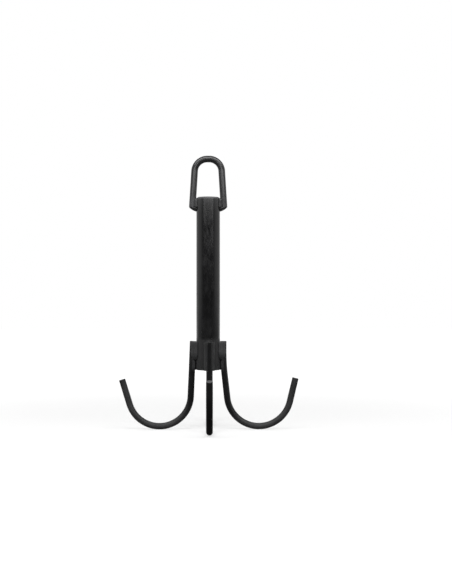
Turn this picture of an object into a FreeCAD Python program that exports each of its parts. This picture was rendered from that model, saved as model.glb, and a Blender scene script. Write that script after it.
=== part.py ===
import FreeCAD, Part
import math
import os

from FreeCAD import Vector

os.makedirs("parts", exist_ok=True)

# A small four-armed grapnel of welded steel, standing on its four hook bends.
# Millimetres and degrees. The origin is on the shank's axis, on the floor under the bends.
# +Z points up along the shank, +X to the right arm, and the front arm points to -Y.
# The heights of the foot, the shank and the loop add up to 255 mm.

# Shank: a length of solid round bar
shank_diameter = 22.0
shank_length = 160.8
foot_height = 55.4          # from the floor to the shank's lower end
shank_top_chamfer = 1.0
shank_foot_chamfer = 0.5

# Loop: a bent rod, welded to the shank's sides by its two legs
loop_rod = 6.3
loop_rise = 38.8            # from the shank's upper end to the top of the loop
loop_crown = 1.9            # straight stretch between the loop's two bends
loop_spread = 3.5           # lean of each leg, away from the axis
loop_overlap = 9.4          # stretch of each leg beside the shank

# Arms: four bent rods, welded to the shank by their upper ends
arm_rod = 6.0
rod_end_chamfer = 0.3       # broken edge of every sawn rod end
rod_seat_gap = 0.05         # between a rod and the shank where they come closest
side_arm_overlap = 26.9     # stretch of the left and right arm beside the shank
mid_arm_overlap = 25.9      # stretch of the front and rear arm beside the shank
mid_arm_shift = 1.2         # both sit this far to the right of the shank's middle

left_lean = 2.4             # lean of the inner leg, away from the axis
left_bend_radius = 29.1     # hook bend, to the middle of the rod
left_tip_lean = 17.1        # lean of the tip, outwards
left_tip_run = 24.0         # straight stretch beyond the hook bend

right_upright = 19.8        # stretch that stays upright before the leg leans away
right_kink_radius = 200.0   # slight bend between the two
right_lean = 6.4
right_bend_radius = 29.7
right_tip_lean = 13.4
right_tip_run = 22.6

front_lean = 3.0
front_bend_radius = 29.5
front_tip_lean = 17.5
front_tip_run = 28.4

rear_lean = 3.0
rear_bend_radius = 29.5
rear_tip_lean = 15.0
rear_tip_run = 26.0

# Weld beads beside the arms
arm_bead_rod_toe = 43.0     # where the bead starts on the rod, in degrees from its outer side
arm_bead_shank_toe = 5.2    # where it ends on the shank, measured from the rod's middle
arm_bead_crown = 1.2        # how far its face bulges
arm_bead_start = 0.4        # below the sawn end of an arm, where no bead crosses that end
arm_bead_foot = 0.5         # above the shank's lower end, where a bead runs all the way down
short_bead_length = 17.1    # the beads on the front of the left and right arm stop early
arm_bead_end_round = 1.6

# Weld beads beside the loop's legs
loop_bead_rod_toe = 108.0
loop_bead_shank_toe = 4.6
loop_bead_crown = 0.5
loop_bead_start = 1.8       # below the shank's upper end
loop_bead_end_round = 0.6

# Weld beads across a rod's end
leg_end_bead_height = 3.8   # down the shank, under the end of each leg of the loop
arm_end_bead_height = 1.9   # up the shank, over the end of the front arm
arm_end_bead_reach = 5.0    # out over the end of the front arm
end_bead_crown = 0.6
end_bead_side = 0.5         # how far these beads stand out on each side of the rod
end_bead_lap = 0.5          # how far they lap over the edge of the rod's end

bead_root = 1.0             # the beads of a pair leave this much unfused, each side of the middle

shank_radius = shank_diameter / 2
shank_top = foot_height + shank_length
loop_radius = loop_rod / 2
leg_end_height = shank_top - loop_overlap
arm_radius = arm_rod / 2
up = Vector(0, 0, 1)


def direction(heading):
    """Horizontal unit vector, in degrees from +X."""
    angle = math.radians(heading)
    return Vector(math.cos(angle), math.sin(angle), 0)


class Seat:
    """Where a rod lies beside the shank, in an upright plane that points outwards."""

    def __init__(self, heading, shift, rod_radius):
        self.rod_radius = rod_radius
        self.distance = shank_radius + rod_seat_gap + rod_radius
        self.plane_out = direction(heading)
        self.origin = direction(0) * shift
        side = self.origin.dot(direction(heading + 90))
        self.rod_out = math.sqrt(self.distance**2 - side**2)
        # The beads are laid about the line from the axis to the rod's middle
        self.out = (self.origin + self.plane_out * self.rod_out).normalize()
        self.across = up.cross(self.out)

    def place(self, solid):
        """Turns a solid made along +X to lie along this seat."""
        solid.rotate(Vector(0, 0, 0), up, math.degrees(math.atan2(self.out.y, self.out.x)))
        return solid


def bent_rod(radius, start, plane_out, angle, steps):
    """A round rod fed and bent in an upright plane, with both sawn ends broken.

    It starts out at an angle in degrees, from outwards to up. Each step is a straight run
    (length,) or a bend (radius, degrees), and every bend turns from outwards to up.
    """
    normal = plane_out.cross(up)
    point = start
    heading = plane_out * math.cos(math.radians(angle)) + up * math.sin(math.radians(angle))
    section = Part.Face(Part.Wire(Part.makeCircle(radius, start, heading)))
    pieces = []
    for step in steps:
        if len(step) == 1:
            move = heading * step[0]
            pieces.append(section.extrude(move))
            section = section.translated(move)
            point = point + move
        else:
            bend_radius, turn = step
            centre = point + normal.cross(heading) * bend_radius
            pieces.append(section.revolve(centre, normal, turn))
            section = section.rotated(centre, normal, turn)
            rotation = FreeCAD.Rotation(normal, turn)
            point = centre + rotation.multVec(point - centre)
            heading = rotation.multVec(heading)
    rod = pieces[0].fuse(pieces[1:])
    ends = [edge for face in rod.Faces if flat(face) for edge in face.Edges]
    return rod.makeChamfer(rod_end_chamfer, ends)


def flat(face):
    return isinstance(face.Surface, Part.Plane)


def shank():
    """Solid round bar with both ends chamfered."""
    profile = Part.makePolygon(
        [
            Vector(0, 0, foot_height),
            Vector(shank_radius - shank_foot_chamfer, 0, foot_height),
            Vector(shank_radius, 0, foot_height + shank_foot_chamfer),
            Vector(shank_radius, 0, shank_top - shank_top_chamfer),
            Vector(shank_radius - shank_top_chamfer, 0, shank_top),
            Vector(0, 0, shank_top),
            Vector(0, 0, foot_height),
        ]
    )
    return Part.Face(profile).revolve(Vector(0, 0, 0), up, 360)


def leg_out(height):
    """How far the middle of a leg lies from the axis, at a height below the bends."""
    spread = math.tan(math.radians(loop_spread))
    touch = shank_top - shank_top_chamfer
    return shank_radius + rod_seat_gap + loop_radius + (touch - height) * spread


def loop():
    """Bent rod: a crown of two bends, and two legs that spread down the shank's sides."""
    spread = math.radians(loop_spread)
    crown_height = shank_top + loop_rise - loop_radius
    # The bends take up what the crown leaves of the width between the legs
    width = leg_out(crown_height) - loop_crown / 2
    bend = width / (1 / math.cos(spread) - math.tan(spread))
    bend_end = crown_height - bend * (1 - math.sin(spread))
    leg = (bend_end - leg_end_height) / math.cos(spread)
    turn = 90 - loop_spread
    start = Vector(leg_out(leg_end_height), 0, leg_end_height)
    steps = [(leg,), (bend, turn), (loop_crown,), (bend, turn), (leg,)]
    return bent_rod(loop_radius, start, direction(0), 90 + loop_spread, steps)


class Arm:
    """One bent rod: an inner leg against the shank, a hook bend and a tip.

    The inner leg leans all the way, or stays upright for a stretch and then leans.
    """

    def __init__(self, heading, shift, overlap, lean, bend, tip_lean, tip_run, upright=0, kink=0):
        self.seat = Seat(heading, shift, arm_radius)
        self.top = foot_height + overlap
        self.lean = lean
        self.bend = bend
        self.tip_lean = tip_lean
        self.tip_run = tip_run
        self.upright = upright
        self.kink = kink

    def rod(self):
        """Swept from the top of the inner leg down through the hook bend to the tip."""
        lean = math.radians(self.lean)
        start = self.seat.origin + self.seat.plane_out * self.seat.rod_out + up * self.top
        bend_start = arm_radius + self.bend * (1 - math.sin(lean))
        leg = (self.top - self.upright - bend_start) / math.cos(lean)
        steps = [(leg,)]
        if self.upright:
            cut = self.kink * math.tan(lean / 2)
            steps = [(self.upright - cut,), (self.kink, self.lean), (leg - cut,)]
        steps += [(self.bend, 180 - self.lean - self.tip_lean), (self.tip_run,)]
        angle = -90 if self.upright else self.lean - 90
        return bent_rod(arm_radius, start, self.seat.plane_out, angle, steps)

    def bead_lean(self):
        """Lean of the line midway between the shank's side and the rod's side."""
        return 0 if self.upright else self.lean / 2


def bead_circle(rod_point, shank_point, crown):
    """Circle through a bead's two toes, bulging by its crown; (x, y) centre and radius."""
    dx, dy = shank_point[0] - rod_point[0], shank_point[1] - rod_point[1]
    chord = math.hypot(dx, dy)
    radius = (chord**2 / 4 + crown**2) / (2 * crown)
    middle = (rod_point[0] + dx / 2, rod_point[1] + dy / 2)
    normal = (dy / chord, -dx / chord)
    inset = radius - crown
    return middle[0] - normal[0] * inset, middle[1] - normal[1] * inset, radius


def side_bead(seat, side, toes, crown, top, length, end_round, lean):
    """Fillet bead in the corner between the shank and one side of a rod.

    side is 1 or -1 across the rod. The toes are the angle on the rod and the distance on
    the shank at which the bead's face ends.
    """
    toe = math.radians(toes[0])
    rod_out = seat.distance + seat.rod_radius * math.cos(toe)
    rod_point = (rod_out, seat.rod_radius * math.sin(toe))
    shank_point = (math.sqrt(shank_radius**2 - toes[1] ** 2), toes[1])
    x, y, radius = bead_circle(rod_point, shank_point, crown)
    lean = math.radians(lean)
    way = seat.out * math.sin(lean) - up * math.cos(lean)
    start = seat.out * x + seat.across * (y * side) + up * top
    blank = Part.makeCylinder(radius, length, start, way)
    blank = blank.makeFillet(end_round, circles(blank))
    return blank.common(root_side(seat, side, top))


def circles(solid):
    return [edge for edge in solid.Edges if isinstance(edge.Curve, Part.Circle)]


def root_side(seat, side, top):
    """Everything on one side of the rod, past the unfused root."""
    size = 2 * seat.distance
    box = Part.makeBox(size, size, shank_length, Vector(0, bead_root, top - shank_length / 2))
    if side < 0:
        box = box.mirror(Vector(0, 0, 0), Vector(0, 1, 0))
    return seat.place(box)


def end_bead(seat, rod_out, end_height, rise, reach, upwards):
    """Bead across a rod's sawn end: a rounded wedge from the end's face to the shank.

    It reaches this far across the end from the rod's inner side, and it rises (or falls)
    this far along the shank.
    """
    way = 1 if upwards else -1
    half_width = seat.rod_radius + end_bead_side
    outer = rod_out - seat.rod_radius + reach
    toes = [(outer, end_height), (shank_radius, end_height + way * rise)]
    if upwards:
        toes.reverse()
    x, z, radius = bead_circle(toes[1], toes[0], end_bead_crown)
    barrel = Part.makeCylinder(radius, 2 * half_width, Vector(x, -half_width, z), Vector(0, 1, 0))
    # Its outline from above: a slot, round at the outer end
    depth = rise + end_bead_crown + end_bead_lap
    low = end_height - end_bead_lap if upwards else end_height + end_bead_lap - depth
    round_end = min(outer - half_width, rod_out)
    plan = Part.makeCylinder(half_width, depth, Vector(round_end, 0, low))
    plan = plan.fuse(Part.makeBox(round_end, 2 * half_width, depth, Vector(0, -half_width, low)))
    return seat.place(barrel.common(plan.removeSplitter()))


def trimmed(bead, *metal):
    """The bead without the metal that it lies against."""
    for piece in metal:
        bead = bead.cut(piece)
    solids = sorted(bead.Solids, key=lambda solid: solid.Volume)
    return solids[-1]


def arm_beads(name, arm, rod, bar, sides, crossed):
    """The two beads beside an arm, and the one over its upper end if that is crossed."""
    toes = (arm_bead_rod_toe, arm_bead_shank_toe)
    start = arm.top if crossed else arm.top - arm_bead_start
    full_length = start - foot_height - arm_bead_foot
    beads = {}
    for side_name, side in sides:
        length = short_bead_length if side_name == "front" else full_length
        bead = side_bead(
            arm.seat, side, toes, arm_bead_crown, start, length, arm_bead_end_round,
            arm.bead_lean(),
        )
        beads["weld_%s_%s" % (name, side_name)] = trimmed(bead, bar, rod)
    if crossed:
        bead = end_bead(
            arm.seat, arm.seat.distance, arm.top, arm_end_bead_height, arm_end_bead_reach, True
        )
        beads["weld_%s_top" % name] = trimmed(bead, bar, rod, *beads.values())
    return beads


def loop_beads(name, side, loop_solid, bar):
    """The beads of one leg of the loop; side is 1 on the right and -1 on the left."""
    seat = Seat(90 - 90 * side, 0, loop_radius)
    toes = (loop_bead_rod_toe, loop_bead_shank_toe)
    start = shank_top - loop_bead_start
    beads = {}
    for side_name, across in (("front", -side), ("rear", side)):
        bead = side_bead(
            seat, across, toes, loop_bead_crown, start, start - leg_end_height,
            loop_bead_end_round, loop_spread / 2,
        )
        beads["weld_loop_%s_%s" % (name, side_name)] = trimmed(bead, bar, loop_solid)
    bead = end_bead(
        seat, leg_out(leg_end_height), leg_end_height, leg_end_bead_height, loop_rod, False
    )
    beads["weld_loop_%s_end" % name] = trimmed(bead, bar, loop_solid, *beads.values())
    return beads


arms = {
    "left": Arm(
        180, 0, side_arm_overlap, left_lean, left_bend_radius, left_tip_lean, left_tip_run
    ),
    "right": Arm(
        0, 0, side_arm_overlap, right_lean, right_bend_radius, right_tip_lean, right_tip_run,
        right_upright, right_kink_radius,
    ),
    "front": Arm(
        -90, mid_arm_shift, mid_arm_overlap, front_lean, front_bend_radius, front_tip_lean,
        front_tip_run,
    ),
    "rear": Arm(
        90, mid_arm_shift, mid_arm_overlap, rear_lean, rear_bend_radius, rear_tip_lean,
        rear_tip_run,
    ),
}
# Each arm's two beads are named by the side on which they lie
bead_sides = {
    "left": (("front", 1), ("rear", -1)),
    "right": (("front", -1), ("rear", 1)),
    "front": (("left", -1), ("right", 1)),
    "rear": (("left", 1), ("right", -1)),
}

bar = shank()
loop_solid = loop()
nodes = {"shank": bar, "top_loop": loop_solid}
for name, arm in arms.items():
    rod = arm.rod()
    nodes["arm_" + name] = rod
    nodes.update(arm_beads(name, arm, rod, bar, bead_sides[name], name == "front"))
for name, side in (("left", -1), ("right", 1)):
    nodes.update(loop_beads(name, side, loop_solid, bar))

overall = FreeCAD.BoundBox()
for name, solid in nodes.items():
    if not solid.isValid():
        raise ValueError(name + " is not a valid solid")
    solid.exportStep("parts/" + name + ".step")
    box = solid.optimalBoundingBox()
    overall.add(box)
    print("%-24s %9.1f mm3  z %6.2f to %6.2f" % (name, solid.Volume, box.ZMin, box.ZMax))
print("box", overall)
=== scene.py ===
import math
import random

import bmesh
import bpy
from mathutils import Matrix, Vector, noise
from mathutils.bvhtree import BVHTree

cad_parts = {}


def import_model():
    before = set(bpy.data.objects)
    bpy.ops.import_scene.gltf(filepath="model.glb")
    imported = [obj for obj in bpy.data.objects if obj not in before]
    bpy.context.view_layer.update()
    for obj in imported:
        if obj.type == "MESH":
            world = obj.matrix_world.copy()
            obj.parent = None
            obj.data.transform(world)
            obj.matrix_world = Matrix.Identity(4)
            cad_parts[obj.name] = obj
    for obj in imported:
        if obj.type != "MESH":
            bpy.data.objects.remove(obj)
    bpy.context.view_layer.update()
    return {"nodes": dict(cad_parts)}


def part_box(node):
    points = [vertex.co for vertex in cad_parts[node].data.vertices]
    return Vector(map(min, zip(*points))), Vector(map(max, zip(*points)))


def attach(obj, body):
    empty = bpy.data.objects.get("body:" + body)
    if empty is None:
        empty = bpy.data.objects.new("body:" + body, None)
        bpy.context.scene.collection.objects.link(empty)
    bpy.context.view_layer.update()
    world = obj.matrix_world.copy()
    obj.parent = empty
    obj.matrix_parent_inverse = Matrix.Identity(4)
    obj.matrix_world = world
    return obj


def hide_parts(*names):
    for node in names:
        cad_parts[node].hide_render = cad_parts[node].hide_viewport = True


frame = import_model()

# A small welded grapnel, painted satin black. Lengths are in metres, angles in degrees.
MM = 0.001
UP = Vector((0, 0, 1))

# Sizes that the beads take from the solids
SHANK_LOW, SHANK_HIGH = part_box("shank")
SHANK_RADIUS = (SHANK_HIGH.x - SHANK_LOW.x) / 2
LOOP_LOW, LOOP_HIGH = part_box("top_loop")
LOOP_RADIUS = (LOOP_HIGH.y - LOOP_LOW.y) / 2
ARM_LOW, ARM_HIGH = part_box("arm_left")
ARM_RADIUS = (ARM_HIGH.y - ARM_LOW.y) / 2
MID_ARM_X = (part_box("arm_front")[0].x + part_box("arm_front")[1].x) / 2
SEAT_GAP = 0.05 * MM                # between a rod and the shank where they come closest

LOOP_BEND = 11.7 * MM               # radius of each shoulder, to the middle of the rod
LOOP_BEND_X = 0.95 * MM             # how far out the middle of that bend lies
LOOP_BEND_HEIGHT = LOOP_HIGH.z - LOOP_RADIUS - LOOP_BEND
# Heading of each arm, radius of its hook bend and lean of its tip
ARMS = {
    "left": (180, 29.1 * MM, 17.1),
    "right": (0, 29.7 * MM, 13.4),
    "front": (-90, 29.5 * MM, 17.5),
    "rear": (90, 29.5 * MM, 15.0),
}

# Camera, placed where the photograph was taken from
IMAGE_HEIGHT = 584                  # pixels
FOCAL_LENGTH = 1199.8               # pixels
CAMERA_PLACE = (1.2 * MM, -1118 * MM, 127.95 * MM)
CAMERA_TURN = 0.79                  # to the right of straight ahead
SENSOR = 24.0                       # long side of the camera's sensor, in its own millimetres
CLIP = (0.01, 50)                   # the nearest and the furthest that it sees

# Softboxes: name, place, the way they face, size and brightness
SOFTBOXES = (
    ("front", (0.10, -0.90, 0.38), (0, 1, 0), (2.00, 0.16), 3.05),
    ("high", (0, -0.51, 0.87), (0, 0.526, -0.850), (1.80, 0.494), 5.2),
    ("high_behind", (0, 0.80, 0.72), (0, -1, -0.4), (1.20, 0.55), 1.4),
)
# The studio round the object, by direction: -1 is straight in front, 1 straight behind or up
SIDE_LEVEL = 0.63                   # its brightness at the sides and behind, low down
SIDE_START = (-0.80, -0.10)         # where that comes in, from the front to the back
SIDE_TOP = (0.35, 0.6)              # and how high up it ends
BACKDROP_START = (0.8, 0.95)        # where the backdrop turns white to mirrored rays

FLOOR_SIZE = 6
FLOOR_DROP = 0.02 * MM              # how far it lies below the object
FLOOR_TONE = 0.35                   # its colour as the camera sees it
FLOOR_NEAR = 0.26                   # and as the object does, under it and behind
FLOOR_FRONT = 0.08                  # and in front of it
FLOOR_CHANGE = (-0.05, -0.02)       # how far back the one passes into the other
FLOOR_BEHIND = (0.3, 1.5)           # how far back it turns white to mirrored rays
FLOOR_GLOWS = (0.62, 1.0)           # its own light, near the object and far from it
FLOOR_GLOW_RUN = (0.15, 0.9)        # how far away the one passes into the other

# Brightness of the paint's colour on each part. One black paint covers the whole object, so most
# of the differences set below by part, by height or by the way a surface faces are painted light
# and shade
SHANK_TONE = 0.0095
LOOP_TONE = 0.0235
BEAD_TONE = 0.030                   # of the loop's beads and the spatter
# Tones of the beads beside each arm, low down and high up: painted light and shade, set bead by
# bead, darkest on the front arm's beads, which face the front lamps
ARM_BEAD_LIGHT_AND_SHADE = {
    "weld_left": (0.032, 0.037),
    "weld_right": (0.034, 0.036),
    "weld_front_left": (0.021, 0.021),
    "weld_front": (0.015, 0.015),
    "weld_rear": (0.028, 0.040),
}
BEAD_RUN = (62 * MM, 75 * MM)       # height over which the one passes into the other
# Tone of the upright part of each arm, and of its hook, as painted light and shade: darker
# uprights, lighter hooks, and the front hook darkest
UPRIGHT_LIGHT_AND_SHADE = {"left": 0.0085, "right": 0.012, "front": 0.0095, "rear": 0.010}
HOOK_LIGHT_AND_SHADE = {"left": 0.027, "right": 0.029, "front": 0.0035, "rear": 0.026}
HOOK_STARTS = {"left": 13 * MM, "right": 18 * MM, "front": 18 * MM, "rear": 15 * MM}
HOOK_RUN = 20 * MM                  # stretch over which the one tone passes into the other
# Painted light and shade added towards each hook's tip
TIP_LIGHT_CHANGE = {"left": -0.006, "right": -0.009, "front": 0.012, "rear": -0.005}
TIP_RUN = (18 * MM, 50 * MM)        # height over which that is added, towards the tip
TIP_OUT = (50 * MM, 60 * MM)        # and only this far out or further
TIP_HIGHLIGHT = 0.060                    # painted highlight added on the sawn tip face, which faces up into the lamps
SHANK_HEAT_AND_FILL = 0.0075                 # added in the weld zone: heat-baked paint, and painted light that lifts the shade beside the beads
WELD_ZONE_RUN = (82 * MM, 86 * MM)       # height over which that ends
CORNER_PAINTED_LIGHT = 0.050                 # painted light added where the shank faces an arm, below its bead, lifting the shade of that corner
CORNER_SIDE = (9.2 * MM, 10.6 * MM)  # how far aside that comes in
CORNER_RUN = (63 * MM, 67 * MM)     # height over which it ends
# Lighter paint low on each arm by the shank: heat-baked paint, and painted light in the shaded
# corner
ARM_HEAT_AND_FILL = {"left": 0.016, "right": 0.020, "front": 0.002, "rear": 0.016}
ARM_HEAT_FOOT = (SHANK_LOW.z - 3 * MM, SHANK_LOW.z + 4 * MM)    # height where those come in
ARM_HEAT_OUT = (SHANK_RADIUS + 8 * MM, SHANK_RADIUS + 12 * MM)  # how far out they end
INNER_PAINTED_LIGHT = 4.5                    # how much stronger they are on the side to the shank, as painted light in the shaded corner
INNER_FACING = (-1.0, 0.35)         # that side, from straight inwards to a little outwards
LEG_END_LIFT = 0.022                    # added on the ends of the loop's legs, making them lighter
LEG_RUN = (214.5 * MM, 217.5 * MM)  # height over which that ends
RIM_HIGHLIGHT = 0.070                    # painted highlight added on the rim at the shank's top
RIM_RUN = (2.4 * MM, 0.9 * MM)      # how far below the top that comes in
TOP_PAINTED_LIGHT = 0.016                    # painted light added over the last part below it, lightening the shank towards its top
RIM_FADE_RUN = 16 * MM
PATCH_TONES = (0.85, 1.35)          # share of a tone in the darkest and the lightest patches
PATCH_LEVELS = (0.35, 0.70)         # levels of the noise between these two
COOL = 1.03                         # blue of the paint against its red and green

# Roughness of the paint
GLOSS = 0.19                        # where it is satin
LOOP_GLOSS = 0.16
END_GLOSS = 0.45                    # on the shank's turned end faces
HOOK_GLOSSES = {"left": 0.58, "right": 0.58, "front": 0.40, "rear": 0.55}
WELD_GLOSS = 0.42                   # on the beads, and on the baked paint beside them
ARM_GLOSS_RUN = (58 * MM, 66 * MM)  # height over which a side arm turns dull
PATCH_DULL = 0.03                   # how much patches, grain and streaks change it each way
FINE_DULL = 0.02
STREAK_DULL = 0.05
NOISE_LEVELS = (0.3, 0.7)           # levels that a noise mostly keeps between
PAINT_IOR = 1.5
SPECULAR = 0.5
ARM_SPECULAR = 0.32                 # the arms shine less than the shank

# Noises of the paint by scale, per metre, and detail, with the heights of their bumps
PATCHES = (70, 3)
PEEL = (620, 2)
PEEL_HEIGHT = 0.006 * MM
FINE = (2400, 2)
FINE_HEIGHT = 0.0015 * MM
STREAKS = (450, 3)
STREAK_STRETCH = 0.30               # along the shank
STREAK_HEIGHT = 0.0075 * MM
BAR_GRAIN = 0.35                    # share of peel and fine grain on the shank and the loop
ARM_GRAIN = 0.5
BEAD_GRAIN = 0.8

# Marks of the tools. A surface comes to count as an end face between two cosines of its tilt.
RING_PITCH = 0.5 * MM
RING_HEIGHT = 0.005 * MM
TURNED_FACE = (0.93, 0.98)
SAW_NOISE = (2200, 2)
SAW_STROKE = Vector((0.3, 0.2, 1.0))    # the lines run this way, laid onto the face
SAW_HEIGHT = 0.05 * MM
SAWN_FACE = (0.96, 0.99)
HOOK_MARKS = (56, 76)               # ticks on a hook's bend, from its lowest point
LOOP_MARKS = (32, 62)               # and on the loop's, from its highest point
MARK_EDGE = 0.2                     # share of that range over which the ticks fade
MARK_SCALES = (30, 160, 48)         # per radian along the bend, then per metre across it and up
MARK_LEVELS = (0.56, 0.68)          # levels of the noise between bare rod and tick
MARK_HEIGHT = -0.04 * MM
MARK_TONE = 0.012
FOOT_SLICE = 0.05 * MM              # an arm's lowest points lie below this height

# How the beads are meshed
ROW_STEP = 0.15 * MM                # along a bead
FACE_STEPS = 26                     # across its face, and as many along its back
END_ROWS = 8                        # round each end
END_STEPS = 60                      # along a bead that crosses a rod's end
BURIED = 0.06 * MM                  # how far the toes and the back reach into the metal
FAR_OUT = 50 * MM                   # a ray from here finds the rod's outer side
END_CLEAR = 0.5 * MM                # no ray comes nearer than this to a rod's end
WELDED = 1e-7                       # points closer than this are one

# Their uneven skin. Each slow change has its size and the length that it takes.
RIPPLE_PITCH = 1.3 * MM
RIPPLE_HEIGHT = 0.06 * MM
RIPPLE_LEVEL = 0.55                 # taken off a crescent, so that it hardly fattens the bead
RIPPLE_BOW = 0.9 * MM               # how far a ripple's middle runs ahead of its ends
RIPPLE_DRIFT = (0.5 * RIPPLE_PITCH, 3.1 * MM)
RIPPLE_CHANGE = (2.2 * MM, 1.3)     # length of a change of height, and changes across a bead
RIPPLE_SHARES = (0.75, 0.5)         # mean of that height and how far it strays
LUMP = (0.12 * MM, 6 * MM)          # swelling
SWAY_OUT = (0.08 * MM, 5 * MM)      # of a bead's middle, away from the shank
SWAY_ACROSS = (0.10 * MM, 4 * MM)
END_SWAY = (0.1 * MM, 0.5)          # of an end bead's width; its length runs from -1 to 1
END_DRIP = (0.15 * MM, 0.3)         # and of its edge on the shank
WANDER = 1.6                        # brings the noise to between about -1 and 1
NOISE_SLICE = 0.5                   # at whole numbers the noise would be 0
SEED_STEPS = (7.31, 3.7)            # keep the noises of two beads apart
ROOT = 1.0 * MM                     # a pair of beads leaves this much unfused each side

# Beads in a corner: toes, by turn round the rod and by place across the shank, and bulge
ARM_CORNER = (43, 5.2 * MM, 1.2 * MM)
LOOP_CORNER = (108, 4.6 * MM, 0.5 * MM)
# Their rounded ends, top and foot: length, and how far the last row is drawn in
FULL_ENDS = ((0.5 * MM, 0.5 * MM), (0.25 * MM, 0.25 * MM))
SHORT_ENDS = ((0.5 * MM, 0.5 * MM), (7.0 * MM, 2.6 * MM))
LOOP_ENDS = ((1.6 * MM, 1.0 * MM), (0.6 * MM, 0.6 * MM))
# Where they lie: an arm, how far right its middle is, how far its beads lean out, and each
# bead with its side, which is 1 on the left of the heading
ARM_BEADS = (
    ("left", 0.0, 1.2, ("front", 1), ("rear", -1)),
    ("right", 0.0, 0.0, ("front", -1), ("rear", 1)),
    ("front", MID_ARM_X, 1.5, ("left", -1), ("right", 1)),
    ("rear", MID_ARM_X, 1.5, ("left", 1), ("right", -1)),
)
# and a leg of the loop, its heading, and its beads
LOOP_BEADS = (
    ("left", 180, ("front", 1), ("rear", -1)),
    ("right", 0, ("front", -1), ("rear", 1)),
)
LOOP_LEAN = 1.75
# Beads across a rod's end: half width, rise along the shank, lap along the rod and bulge
TOP_SHAPE = (3.4 * MM, 1.9 * MM, 0.5 * MM, 0.6 * MM)
TOP_TOE = 2.0 * MM                  # how far past the rod's middle that bead reaches
LEG_SHAPE = (3.6 * MM, 3.8 * MM, 0.5 * MM, 0.6 * MM)
LEAST_LAP = 0.3                     # share of the lap where the bead points straight out
LEAST_RISE = 0.25                   # share of the rise at its two sides
LEAST_RIPPLE = 0.3                  # and of the ripples there
END_RIPPLES = 1.5                   # how far these run to each side, in half widths

# Spatter: node, how far right its middle lies, heights, turns about it and number of drops.
# Heights and sizes are in millimetres.
SPATTER_SEED = 11
SPATTER = (
    ("shank", 0.0, (84, 96), (0, 360), 12),
    ("shank", 0.0, (203, 207), (-60, 60), 2),
    ("shank", 0.0, (203, 207), (120, 240), 2),
    ("arm_left", -14.6 * MM, (45, 62), (150, 300), 4),
    ("arm_right", 14.6 * MM, (45, 62), (-120, 30), 3),
)
DROP_SIZES = (0.16, 0.34)
DROP_FLATNESS = 0.7                 # height of a drop against its width
DROP_DETAIL = 2                     # times that its faces are divided
# Drops on the front of the right leg of the loop: turn, height and size
LEG_OUT = 14.0 * MM
LEG_SPATTER = (
    (-75, 217.6, 0.42),
    (-88, 213.9, 0.38),
    (-80, 221.4, 0.30),
    (-70, 211.2, 0.34),
    (-95, 224.6, 0.26),
)


def placed(name, data):
    """A new object in the scene, of this name and with this data."""
    obj = bpy.data.objects.new(name, data)
    bpy.context.scene.collection.objects.link(obj)
    return obj


def ahead(heading):
    """The level direction at this heading: 0 is to the right and -90 to the front."""
    turn = math.radians(heading)
    return Vector((math.cos(turn), math.sin(turn), 0))


def skin_tree(node):
    """The skin of a solid, for rays to find."""
    data = frame["nodes"][node].data
    return BVHTree.FromPolygons(
        [v.co.copy() for v in data.vertices], [tuple(p.vertices) for p in data.polygons]
    )


class Graph:
    """Short calls for building a node tree."""

    def __init__(self, tree):
        self.tree = tree
        tree.nodes.clear()

    def node(self, kind, inputs=None, **settings):
        made = self.tree.nodes.new(kind)
        for key, value in settings.items():
            setattr(made, key, value)
        for key, value in (inputs or {}).items():
            if isinstance(value, bpy.types.NodeSocket):
                self.tree.links.new(value, made.inputs[key])
            else:
                made.inputs[key].default_value = value
        return made

    def math(self, operation, *values):
        made = self.node("ShaderNodeMath", dict(enumerate(values)), operation=operation)
        return made.outputs[0]

    def ramp(self, value, low, high, to_low=0.0, to_high=1.0):
        """Smooth step of a value from one range to another."""
        made = self.node(
            "ShaderNodeMapRange",
            {
                "Value": value, "From Min": low, "From Max": high,
                "To Min": to_low, "To Max": to_high,
            },
            interpolation_type="SMOOTHSTEP",
        )
        return made.outputs["Result"]

    def noise(self, vector, scale, detail):
        made = self.node(
            "ShaderNodeTexNoise", {"Vector": vector, "Scale": scale, "Detail": detail}
        )
        return made.outputs["Fac"]

    def stretched(self, vector, scale):
        made = self.node("ShaderNodeMapping", {"Vector": vector, "Scale": scale})
        return made.outputs["Vector"]

    def bump(self, height, distance, normal=None):
        inputs = {"Height": height, "Distance": distance, "Strength": 1.0}
        if normal is not None:
            inputs["Normal"] = normal
        return self.node("ShaderNodeBump", inputs).outputs["Normal"]

    def separate(self, vector):
        parts = self.node("ShaderNodeSeparateXYZ", {"Vector": vector})
        return parts.outputs["X"], parts.outputs["Y"], parts.outputs["Z"]

    def combine(self, x, y, z):
        return self.node("ShaderNodeCombineXYZ", {"X": x, "Y": y, "Z": z}).outputs["Vector"]

    def dot(self, vector, way):
        made = self.node(
            "ShaderNodeVectorMath", {0: vector, 1: tuple(way)}, operation="DOT_PRODUCT"
        )
        return made.outputs["Value"]

    def facing(self):
        """The way that the surface faces."""
        return self.node("ShaderNodeNewGeometry").outputs["Normal"]


def new_material(name):
    made = bpy.data.materials.new(name)
    made.use_nodes = True
    return made, Graph(made.node_tree)


def camera():
    data = bpy.data.cameras.new("camera")
    data.sensor_width = SENSOR
    data.lens = SENSOR * FOCAL_LENGTH / IMAGE_HEIGHT
    data.clip_start, data.clip_end = CLIP
    obj = placed("camera", data)
    obj.location = CAMERA_PLACE
    obj.rotation_euler = (math.radians(90), 0, -math.radians(CAMERA_TURN))
    bpy.context.scene.camera = obj


def seen_white(g, behind):
    """1 for camera rays, and for glossy and transmission rays where the backdrop is behind."""
    rays = g.node("ShaderNodeLightPath").outputs
    mirrored = g.math("MAXIMUM", rays["Is Glossy Ray"], rays["Is Transmission Ray"])
    return g.math("MAXIMUM", rays["Is Camera Ray"], g.math("MULTIPLY", mirrored, behind))


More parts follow.
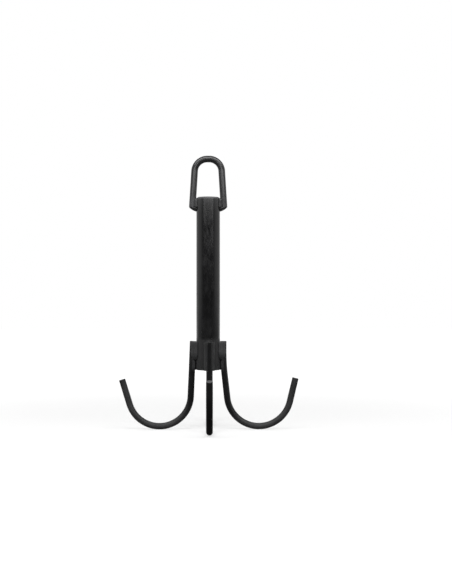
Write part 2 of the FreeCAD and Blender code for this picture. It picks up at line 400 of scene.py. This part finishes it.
def world():
    """White to the camera, and to gloss and glass straight behind; soft light from both sides."""
    studio = bpy.data.worlds.new("studio")
    bpy.context.scene.world = studio
    studio.use_nodes = True
    g = Graph(studio.node_tree)
    _, y, z = g.separate(g.node("ShaderNodeTexCoord").outputs["Generated"])
    around = g.ramp(y, *SIDE_START, 0.0, SIDE_LEVEL)
    light = g.math("MULTIPLY", around, g.ramp(g.math("ABSOLUTE", z), *SIDE_TOP, 1.0, 0.0))
    level = g.math("MAXIMUM", light, seen_white(g, g.ramp(y, *BACKDROP_START)))
    background = g.node("ShaderNodeBackground", {"Color": (1, 1, 1, 1), "Strength": level})
    g.node("ShaderNodeOutputWorld", {"Surface": background.outputs[0]})


def floor():
    """White to the camera, with the object's soft shadow; dim where the object mirrors it.

    It has some light of its own for the camera, and more further off, where no lamp reaches.
    """
    bpy.ops.mesh.primitive_plane_add(size=FLOOR_SIZE, location=(0, 0, -FLOOR_DROP))
    obj = bpy.context.object
    obj.name = "floor"
    material, g = new_material("floor")
    place = g.node("ShaderNodeTexCoord").outputs["Object"]
    y = g.separate(place)[1]
    away = g.node("ShaderNodeVectorMath", {0: place}, operation="LENGTH").outputs["Value"]
    white = seen_white(g, g.ramp(y, *FLOOR_BEHIND))
    dim = g.ramp(y, *FLOOR_CHANGE, FLOOR_FRONT, FLOOR_NEAR)
    tone = g.ramp(white, 0.0, 1.0, dim, FLOOR_TONE)
    matt = g.node("ShaderNodeBsdfDiffuse", {"Color": g.combine(tone, tone, tone)})
    own_light = g.math("MULTIPLY", white, g.ramp(away, *FLOOR_GLOW_RUN, *FLOOR_GLOWS))
    glow = g.node("ShaderNodeEmission", {"Strength": own_light})
    both = g.node("ShaderNodeAddShader", {0: matt.outputs[0], 1: glow.outputs[0]})
    g.node("ShaderNodeOutputMaterial", {"Surface": both.outputs[0]})
    obj.data.materials.append(material)


def softbox(name, place, way, size, level):
    """An evenly bright panel that faces this way. level is its brightness, where 1 is white."""
    data = bpy.data.lights.new(name, "AREA")
    data.shape = "RECTANGLE"
    data.size, data.size_y = size
    data.energy = level * size[0] * size[1] * math.pi
    obj = placed(name, data)
    obj.location = place
    obj.rotation_euler = Vector(way).to_track_quat("-Z", "Y").to_euler()


def turned_rings(g, place):
    """Fine rings that the lathe left on the shank's two end faces."""
    x, y, _ = g.separate(place)
    radial = g.math("SQRT", g.math("ADD", g.math("MULTIPLY", x, x), g.math("MULTIPLY", y, y)))
    wave = g.math("SINE", g.math("MULTIPLY", radial, 2 * math.pi / RING_PITCH))
    upwards = g.math("ABSOLUTE", g.separate(g.facing())[2])
    return g.math("MULTIPLY", wave, g.ramp(upwards, *TURNED_FACE))


def saw_lines(g, place, sawn, way):
    """Slightly uneven lines of the saw on a rod's end that faces this way."""
    across = way.cross(SAW_STROKE).normalized()
    lines = g.noise(g.combine(g.dot(place, across), 0.0, 0.0), *SAW_NOISE)
    return g.math("MULTIPLY", lines, sawn)


def bend_marks(g, place, along, up_from, reach):
    """Short ticks across a rod that the bending tool left, within a range of the bend's turn.

    along and up_from are the distances from the bend's middle, and reach is that range in
    degrees, from the bend's lowest or highest point.
    """
    turn = g.math("ARCTAN2", along, up_from)
    low, high = (math.radians(edge) for edge in reach)
    spread = MARK_EDGE * (high - low)
    within = g.math(
        "MULTIPLY", g.ramp(turn, low, low + spread), g.ramp(turn, high - spread, high, 1.0, 0.0)
    )
    x, y, z = g.separate(place)
    spots = (turn, g.math("ADD", x, y), z)
    scaled = (g.math("MULTIPLY", spot, scale) for spot, scale in zip(spots, MARK_SCALES))
    lines = g.noise(g.combine(*scaled), 1.0, 1.0)
    return g.math("MULTIPLY", within, g.ramp(lines, *MARK_LEVELS))


def loop_marks(g, place):
    """Ticks on both shoulders of the loop."""
    x, _, z = g.separate(place)
    along = g.math("SUBTRACT", g.math("ABSOLUTE", x), LOOP_BEND_X)
    up_from = g.math("SUBTRACT", z, LOOP_BEND_HEIGHT)
    return bend_marks(g, place, along, up_from, LOOP_MARKS)


def hook_marks(node, heading, bend):
    """Ticks where the hook's bend ends, on the side of the tip."""
    lowest = [v.co for v in frame["nodes"][node].data.vertices if v.co.z < FOOT_SLICE]
    foot = sum(lowest, Vector()) / len(lowest)
    way = ahead(heading)

    def ticks(g, place):
        along = g.math("SUBTRACT", g.dot(place, way), foot.dot(way))
        down = g.math("SUBTRACT", ARM_RADIUS + bend, g.separate(place)[2])
        return bend_marks(g, place, along, down, HOOK_MARKS)

    return ticks


def wavering(g, rough, pattern, change):
    """Roughness that a noise raises and lowers by up to this change."""
    return g.math("ADD", rough, g.ramp(pattern, *NOISE_LEVELS, -change, change))


def paint(
    name, tone, gloss, grain, specular=SPECULAR, streaks=0.0, rings=False, saw=(), marks=None
):
    """Satin black paint over steel: orange peel, slow changes of gloss, and tool marks.

    tone is the brightness of its colour and gloss its roughness, each a number or a function
    of the graph and the place.
    """
    material, g = new_material(name)
    place = g.node("ShaderNodeTexCoord").outputs["Object"]
    patches = g.noise(place, *PATCHES)
    peel = g.noise(place, *PEEL)
    fine = g.noise(place, *FINE)
    light = tone(g, place) if callable(tone) else tone
    light = g.math("MULTIPLY", g.ramp(patches, *PATCH_LEVELS, *PATCH_TONES), light)
    rough = gloss(g, place) if callable(gloss) else gloss
    rough = wavering(g, rough, patches, PATCH_DULL)
    rough = wavering(g, rough, fine, FINE_DULL)
    normal = g.bump(peel, grain * PEEL_HEIGHT)
    normal = g.bump(fine, grain * FINE_HEIGHT, normal)
    if streaks:
        lines = g.noise(g.stretched(place, (1, 1, STREAK_STRETCH)), *STREAKS)
        normal = g.bump(lines, streaks, normal)
        rough = wavering(g, rough, lines, STREAK_DULL)
    if rings:
        normal = g.bump(turned_rings(g, place), RING_HEIGHT, normal)
    for way, painted_glint in saw:
        sawn = g.ramp(g.dot(g.facing(), way), *SAWN_FACE)
        normal = g.bump(saw_lines(g, place, sawn, way), SAW_HEIGHT, normal)
        # A painted highlight on the sawn tip face
        if painted_glint:
            light = g.math("ADD", light, g.math("MULTIPLY", sawn, TIP_HIGHLIGHT))
    if marks:
        ticks = marks(g, place)
        normal = g.bump(ticks, MARK_HEIGHT, normal)
        light = g.math("ADD", light, g.math("MULTIPLY", ticks, MARK_TONE))
    colour = g.combine(light, light, g.math("MULTIPLY", light, COOL))
    shader = g.node(
        "ShaderNodeBsdfPrincipled",
        {
            "Base Color": colour, "Roughness": rough, "Normal": normal, "IOR": PAINT_IOR,
            "Specular IOR Level": specular,
        },
    )
    g.node("ShaderNodeOutputMaterial", {"Surface": shader.outputs[0]})
    return material


def shank_tone(g, place):
    """Lighter between the arms, where it was welded, as heat-baked paint and painted light in the
    shaded corners; painted light towards the top, and a painted highlight on its rim.
    """
    x, _, height = g.separate(place)
    top = SHANK_HIGH.z
    # Heat-baked paint and painted light in the weld zone, and painted light in the corners by the
    # arms
    weld_zone_lift = g.ramp(height, *WELD_ZONE_RUN, SHANK_HEAT_AND_FILL, 0.0)
    beside = g.ramp(g.math("ABSOLUTE", x), *CORNER_SIDE)
    corner = g.math("MULTIPLY", beside, g.ramp(height, *CORNER_RUN, CORNER_PAINTED_LIGHT, 0.0))
    weld_zone_lift = g.math("ADD", weld_zone_lift, corner)
    # Painted light towards the top, and a painted highlight on the rim
    fade = g.ramp(height, top - RIM_FADE_RUN, top, 0.0, TOP_PAINTED_LIGHT)
    rim = g.ramp(height, top - RIM_RUN[0], top - RIM_RUN[1], 0.0, RIM_HIGHLIGHT)
    return g.math("ADD", g.math("ADD", weld_zone_lift, SHANK_TONE), g.math("ADD", fade, rim))


def shank_gloss(g, place):
    """Duller between the arms and on the two end faces."""
    upwards = g.math("ABSOLUTE", g.separate(g.facing())[2])
    ends = g.ramp(upwards, *TURNED_FACE, 0.0, END_GLOSS)
    return g.math("MAXIMUM", g.ramp(g.separate(place)[2], *WELD_ZONE_RUN, WELD_GLOSS, GLOSS), ends)


def loop_tone(g, place):
    """Lighter at the legs' ends, where the loop was welded."""
    return g.ramp(g.separate(place)[2], *LEG_RUN, LOOP_TONE + LEG_END_LIFT, LOOP_TONE)


def loop_gloss(g, place):
    """Duller at the legs' ends."""
    return g.ramp(g.separate(place)[2], *LEG_RUN, WELD_GLOSS, LOOP_GLOSS)


def bead_tone(low, high):
    """Painted light and shade, changing up along a bead."""
    return lambda g, place: g.ramp(g.separate(place)[2], *BEAD_RUN, low, high)


def arm_tone(name, way):
    """Painted shade in the arm's upright part and painted light out along the hook; lighter
    beside the beads, partly heat-baked paint and partly painted light in the shaded corner by the
    shank.
    """
    start = HOOK_STARTS[name]

    def tone(g, place):
        out, height = g.dot(place, way), g.separate(place)[2]
        along = g.ramp(out, start, start + HOOK_RUN, UPRIGHT_LIGHT_AND_SHADE[name], HOOK_LIGHT_AND_SHADE[name])
        # Painted light on the side that faces the shank, and heat-baked paint beside the beads
        inner = g.ramp(g.dot(g.facing(), way), *INNER_FACING, INNER_PAINTED_LIGHT, 0.0)
        weld_zone_lift = g.ramp(height, *ARM_HEAT_FOOT, 0.0, ARM_HEAT_AND_FILL[name])
        beside = g.ramp(out, *ARM_HEAT_OUT, 1.0, 0.0)
        heat_and_fill = g.math("MULTIPLY", g.math("MULTIPLY", weld_zone_lift, beside), inner)
        beyond = g.ramp(out, *TIP_OUT)
        change = g.math("MULTIPLY", beyond, g.ramp(height, *TIP_RUN, 0.0, TIP_LIGHT_CHANGE[name]))
        return g.math("ADD", along, g.math("ADD", heat_and_fill, change))

    return tone


def arm_gloss(name, way):
    """Duller out along the hook, and on a side arm beside the beads too."""
    start = HOOK_STARTS[name]

    def gloss(g, place):
        out, height = g.dot(place, way), g.separate(place)[2]
        hook = g.ramp(out, start, start + HOOK_RUN, GLOSS, HOOK_GLOSSES[name])
        if name == "front":
            return hook
        return g.math("MAXIMUM", hook, g.ramp(height, *ARM_GLOSS_RUN, 0.0, WELD_GLOSS))

    return gloss


def tip_way(heading, lean):
    """The way that a hook's sawn tip faces."""
    turn, tip = math.radians(heading), math.radians(lean)
    out = math.sin(tip)
    return Vector((math.cos(turn) * out, math.sin(turn) * out, math.cos(tip)))


def all_paints():
    """The paints of the solids and the beads, by what the name of a node starts with."""
    paints = {
        start: paint(start + "_paint", bead_tone(*tones), WELD_GLOSS, BEAD_GRAIN)
        for start, tones in ARM_BEAD_LIGHT_AND_SHADE.items()
    }
    paints["weld"] = paint("bead_paint", BEAD_TONE, WELD_GLOSS, BEAD_GRAIN)
    paints["shank"] = paint(
        "shank_paint", shank_tone, shank_gloss, BAR_GRAIN, streaks=STREAK_HEIGHT, rings=True
    )
    paints["top_loop"] = paint("loop_paint", loop_tone, loop_gloss, BAR_GRAIN, marks=loop_marks)
    for name, (heading, bend, lean) in ARMS.items():
        node, way = "arm_" + name, ahead(heading)
        paints[node] = paint(
            node + "_paint", arm_tone(name, way), arm_gloss(name, way), ARM_GRAIN,
            specular=ARM_SPECULAR, saw=((tip_way(heading, lean), True), (UP, False)),
            marks=hook_marks(node, heading, bend),
        )
    return paints


def paint_of(paints, node):
    """The paint of a node, by the first of these names that its own name starts with."""
    return next(paints[start] for start in paints if node.startswith(start))


class Seat:
    """A rod that lies beside the shank, and the flat coordinates out and across of its beads."""

    def __init__(self, node, heading, radius, shift=0.0):
        self.tree = skin_tree(node)
        self.low, self.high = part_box(node)
        self.radius = radius
        self.distance = SHANK_RADIUS + SEAT_GAP + radius
        self.plane_out = ahead(heading)
        self.origin = Vector((shift, 0, 0))
        side = self.origin.dot(UP.cross(self.plane_out))
        rod_out = math.sqrt(self.distance**2 - side**2)
        self.out = (self.origin + self.plane_out * rod_out).normalized()
        self.across = UP.cross(self.out)

    def rod(self, height):
        """Where the rod's middle lies at this height, as (out, across).

        Close to an end, that is where it lies a little further in.
        """
        height = min(max(height, self.low.z + END_CLEAR), self.high.z - END_CLEAR)
        start = self.origin + self.plane_out * FAR_OUT + UP * height
        hit = self.tree.ray_cast(start, -self.plane_out)[0]
        middle = hit - self.plane_out * self.radius
        return middle.dot(self.out), middle.dot(self.across)

    def point(self, out, across, height):
        return self.out * out + self.across * across + UP * height


def bead_circle(rod_point, shank_point, crown):
    """Circle through a bead's two toes, bulging by its crown: out, across and radius."""
    dx, dy = shank_point[0] - rod_point[0], shank_point[1] - rod_point[1]
    chord = math.hypot(dx, dy)
    radius = (chord**2 / 4 + crown**2) / (2 * crown)
    inset = radius - crown
    x = rod_point[0] + dx / 2 - dy / chord * inset
    y = rod_point[1] + dy / 2 + dx / chord * inset
    return x, y, radius


def crossing(x, y, radius, x2, y2, radius2):
    """Where two circles cross, further across, or come closest where they don't."""
    dx, dy = x2 - x, y2 - y
    gap = math.hypot(dx, dy)
    along = (gap**2 + radius**2 - radius2**2) / (2 * gap)
    aside = math.sqrt(max(radius**2 - along**2, 0))
    first = (x + (along * dx - aside * dy) / gap, y + (along * dy + aside * dx) / gap)
    second = (x + (along * dx + aside * dy) / gap, y + (along * dy - aside * dx) / gap)
    return max(first, second, key=lambda point: point[1])


def between(start, end, share):
    """The point this share of the way from one to the other."""
    return tuple(a + (b - a) * share for a, b in zip(start, end))


def grown(least, share):
    """From the least to 1, by this share."""
    return least + (1 - least) * share


def wander(change, place, seed):
    """Slow change along a bead, given as its size and the length that it takes."""
    size, length = change
    spot = Vector((place / length, seed * SEED_STEPS[0], NOISE_SLICE))
    return size * (noise.noise(spot) * WANDER)


def ripples(place, u, seed):
    """Height of the scales that the weld pool leaves: crescents, deepest in mid-face."""
    bowed = place + RIPPLE_BOW * (1 - u * u) + wander(RIPPLE_DRIFT, place, seed)
    scale = abs(math.sin(math.pi * bowed / RIPPLE_PITCH)) - RIPPLE_LEVEL
    length, across = RIPPLE_CHANGE
    mean, stray = RIPPLE_SHARES
    spot = Vector((place / length, u * across, seed * SEED_STEPS[1]))
    return RIPPLE_HEIGHT * scale * (mean + stray * noise.noise(spot)) * (1 - u**4)


def rounded_rows(length, top_end, foot_end):
    """Places along a bead, closer at its rounded ends, each with how far it is drawn in.

    Each end is given by its length and by how far its last row is drawn in.
    """
    rows = []
    quarter = [math.radians(90 * i / END_ROWS) for i in range(END_ROWS)]
    for turn in quarter:
        rows.append((top_end[0] * (1 - math.cos(turn)), top_end[1] * (1 - math.sin(turn))))
    middle = length - top_end[0] - foot_end[0]
    count = max(2, round(middle / ROW_STEP))
    for i in range(count + 1):
        rows.append((top_end[0] + middle * i / count, 0.0))
    for turn in reversed(quarter):
        place = length - foot_end[0] * (1 - math.cos(turn))
        rows.append((place, foot_end[1] * (1 - math.sin(turn))))
    return rows


def side_section(seat, side, circle, place, drawn_in, top, seed):
    """Closed outline of a side bead at one row, face first, as points of the scene."""
    x, y, radius = circle
    rod_x, rod_y = seat.rod(top - place)
    rod_y *= side
    x += wander(SWAY_OUT, place, seed + 1)
    y += wander(SWAY_ACROSS, place, seed + 2)
    radius += wander(LUMP, place, seed) - drawn_in
    rod_radius, bar_radius = seat.radius - BURIED, SHANK_RADIUS - BURIED
    rod_toe = crossing(x, y, radius, rod_x, rod_y, rod_radius)
    bar_toe = crossing(x, y, radius, 0, 0, bar_radius)
    first = math.atan2(rod_toe[1] - y, rod_toe[0] - x)
    last = math.atan2(bar_toe[1] - y, bar_toe[0] - x)
    outline = []
    for k in range(FACE_STEPS + 1):
        share = k / FACE_STEPS
        turn = first + (last - first) * share
        lift = radius + ripples(place, 2 * share - 1, seed)
        outline.append((x + lift * math.cos(turn), y + lift * math.sin(turn)))
    # Back along the bar and then along the rod, with the unfused root between them
    half = FACE_STEPS // 2
    toe = math.atan2(bar_toe[1], bar_toe[0])
    root = math.asin(ROOT / bar_radius)
    for k in range(1, half):
        turn = toe + (root - toe) * k / (half - 1)
        outline.append((bar_radius * math.cos(turn), bar_radius * math.sin(turn)))
    toe = math.atan2(rod_toe[1] - rod_y, rod_toe[0] - rod_x)
    root = math.pi - math.asin((ROOT - rod_y) / rod_radius)
    for k in range(half):
        turn = root + (toe - root) * k / half
        outline.append((rod_x + rod_radius * math.cos(turn), rod_y + rod_radius * math.sin(turn)))
    return [seat.point(out, across * side, top - place) for out, across in outline]


def side_bead(node, seat, side, corner, ends, lean, seed, foot=None):
    """A bead in the corner between the shank and one side of a rod.

    It runs from the top of its solid down to this foot, or else to the foot of its solid.
    """
    low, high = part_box(node)
    foot = low.z if foot is None else foot
    turn, aside, crown = corner
    toe = math.radians(turn)
    rod_point = (seat.distance + seat.radius * math.cos(toe), seat.radius * math.sin(toe))
    bar_point = (math.sqrt(SHANK_RADIUS**2 - aside**2), aside)
    x, y, radius = bead_circle(rod_point, bar_point, crown)
    slope = math.tan(math.radians(lean))
    sections = []
    for place, drawn_in in rounded_rows(high.z - foot, *ends):
        circle = (x + place * slope, y, radius)
        sections.append(side_section(seat, side, circle, place, drawn_in, high.z, seed))
    return swept_piece(node, sections)


def end_bead(node, seat, end, way, toe_out, shape, seed):
    """A bead across a rod's end, from the end's rim or face to the shank.

    way is 1 for a bead over an upper end and -1 for one under a lower end.
    """
    half_width, rise, lap, crown = shape
    rod_x, rod_y = seat.rod(end)
    rod_radius, bar_radius = seat.radius - BURIED, SHANK_RADIUS - BURIED
    level = end - way * BURIED
    half = FACE_STEPS // 2
    sections = []
    for i in range(END_STEPS + 1):
        turn = math.radians(-90 + 180 * i / END_STEPS)
        out_part, side_part = math.cos(turn), math.sin(turn)
        u = 2 * i / END_STEPS - 1
        rim = (
            rod_x + (toe_out - rod_x) * out_part,
            rod_y + rod_radius * side_part,
            end - way * lap * grown(LEAST_LAP, abs(side_part)),
        )
        aside = rod_y + (half_width + wander(END_SWAY, u, seed)) * side_part
        fall = rise * grown(LEAST_RISE, out_part) + wander(END_DRIP, u, seed + 4)
        foot = (math.sqrt(bar_radius**2 - aside**2), aside, end + way * fall)
        chord_out, chord_up = abs(foot[0] - rim[0]), abs(foot[2] - rim[2])
        chord = math.hypot(chord_out, chord_up)
        facing = (chord_up / chord * out_part, side_part, way * chord_out / chord * out_part)
        outline = []
        for k in range(FACE_STEPS + 1):
            t = k / FACE_STEPS
            bulge = 4 * t * (1 - t) * crown
            rippled = ripples(u * END_RIPPLES * half_width, 2 * t - 1, seed)
            bulge += rippled * grown(LEAST_RIPPLE, out_part)
            middle = between(rim, foot, t)
            outline.append(tuple(at + part * bulge for at, part in zip(middle, facing)))
        # Back up the bar, and across the rod's end to the rim
        corner = (math.sqrt(bar_radius**2 - rim[1] ** 2), rim[1], level)
        outline += [between(foot, corner, k / (half - 1)) for k in range(1, half)]
        edge = (rim[0], rim[1], level)
        outline += [between(corner, edge, (k + 1) / half) for k in range(half)]
        sections.append([seat.point(*point) for point in outline])
    return swept_piece(node, sections)


def swept_piece(node, sections):
    """Closed skin over rows of outlines, whose first half is the face and the rest the back."""
    size = len(sections[0])
    points = [tuple(point) for section in sections for point in section]
    faces = []
    for row in range(len(sections) - 1):
        start, after = row * size, (row + 1) * size
        for k in range(size):
            beside = (k + 1) % size
            faces.append((start + k, start + beside, after + beside, after + k))
    for start in (0, (len(sections) - 1) * size):
        for k in range(FACE_STEPS):
            opposite, beyond = size - k - 1, (size - k) % size
            corners = [start + k, start + k + 1, start + opposite, start + beyond]
            faces.append(tuple(dict.fromkeys(corners)))
    mesh = bpy.data.meshes.new(node)
    mesh.from_pydata(points, [], faces)
    work = bmesh.new()
    work.from_mesh(mesh)
    bmesh.ops.remove_doubles(work, verts=work.verts, dist=WELDED)
    bmesh.ops.recalc_face_normals(work, faces=work.faces)
    if work.calc_volume(signed=True) < 0:
        bmesh.ops.reverse_faces(work, faces=work.faces)
    made = piece(node.replace("weld", "bead"), mesh, work)
    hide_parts(node)
    return made


def piece(name, mesh, work):
    """A smooth piece of the object, from the faces worked out for its mesh."""
    for face in work.faces:
        face.smooth = True
    work.to_mesh(mesh)
    work.free()
    made = placed(name, mesh)
    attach(made, "root")
    return made


def beads():
    """The fifteen weld beads, in place of their plain solids. Each one's number is its seed."""
    made = []
    for name, shift, lean, *sides in ARM_BEADS:
        seat = Seat("arm_" + name, ARMS[name][0], ARM_RADIUS, shift)
        for where, side in sides:
            node = "weld_%s_%s" % (name, where)
            ends, foot = (SHORT_ENDS, None) if where == "front" else (FULL_ENDS, SHANK_LOW.z)
            made.append(side_bead(node, seat, side, ARM_CORNER, ends, lean, len(made), foot))
        if name == "front":
            top, toe_out = seat.high.z, seat.distance + TOP_TOE
            made.append(
                end_bead("weld_front_top", seat, top, 1, toe_out, TOP_SHAPE, len(made))
            )
    for name, heading, *sides in LOOP_BEADS:
        seat = Seat("top_loop", heading, LOOP_RADIUS)
        for where, side in sides:
            node = "weld_loop_%s_%s" % (name, where)
            made.append(
                side_bead(node, seat, side, LOOP_CORNER, LOOP_ENDS, LOOP_LEAN, len(made))
            )
        node, foot = "weld_loop_%s_end" % name, seat.low.z
        toe_out = seat.rod(foot)[0] + LOOP_RADIUS
        made.append(end_bead(node, seat, foot, -1, toe_out, LEG_SHAPE, len(made)))
    return made


def spatter():
    """Drops of weld metal that froze near the beads."""
    chance = random.Random(SPATTER_SEED)
    drops = []
    for node, out, heights, turns, count in SPATTER:
        for _ in range(count):
            turn, height = chance.uniform(*turns), chance.uniform(*heights)
            drops.append((node, out, turn, height, chance.uniform(*DROP_SIZES)))
    drops += [("top_loop", LEG_OUT, turn, height, size) for turn, height, size in LEG_SPATTER]
    trees = {node: skin_tree(node) for node in {drop[0] for drop in drops}}
    work = bmesh.new()
    for node, out, turn, height, size in drops:
        away = ahead(turn)
        start = Vector((out, 0, height * MM)) + away * FAR_OUT
        hit, normal = trees[node].ray_cast(start, -away)[:2]
        matrix = Matrix.Translation(hit) @ normal.to_track_quat("Z", "Y").to_matrix().to_4x4()
        matrix = matrix @ Matrix.Diagonal((1, 1, DROP_FLATNESS, 1))
        bmesh.ops.create_icosphere(
            work, subdivisions=DROP_DETAIL, radius=size * MM, matrix=matrix
        )
    return piece("weld_spatter", bpy.data.meshes.new("weld_spatter"), work)


camera()
world()
floor()
for box in SOFTBOXES:
    softbox(*box)

paints = all_paints()
for made in beads() + [spatter()]:
    made.data.materials.append(paint_of(paints, made.name.replace("bead", "weld")))
for name, obj in frame["nodes"].items():
    obj.data.materials.clear()
    obj.data.materials.append(paint_of(paints, name))

bpy.context.scene.view_settings.view_transform = "Standard"
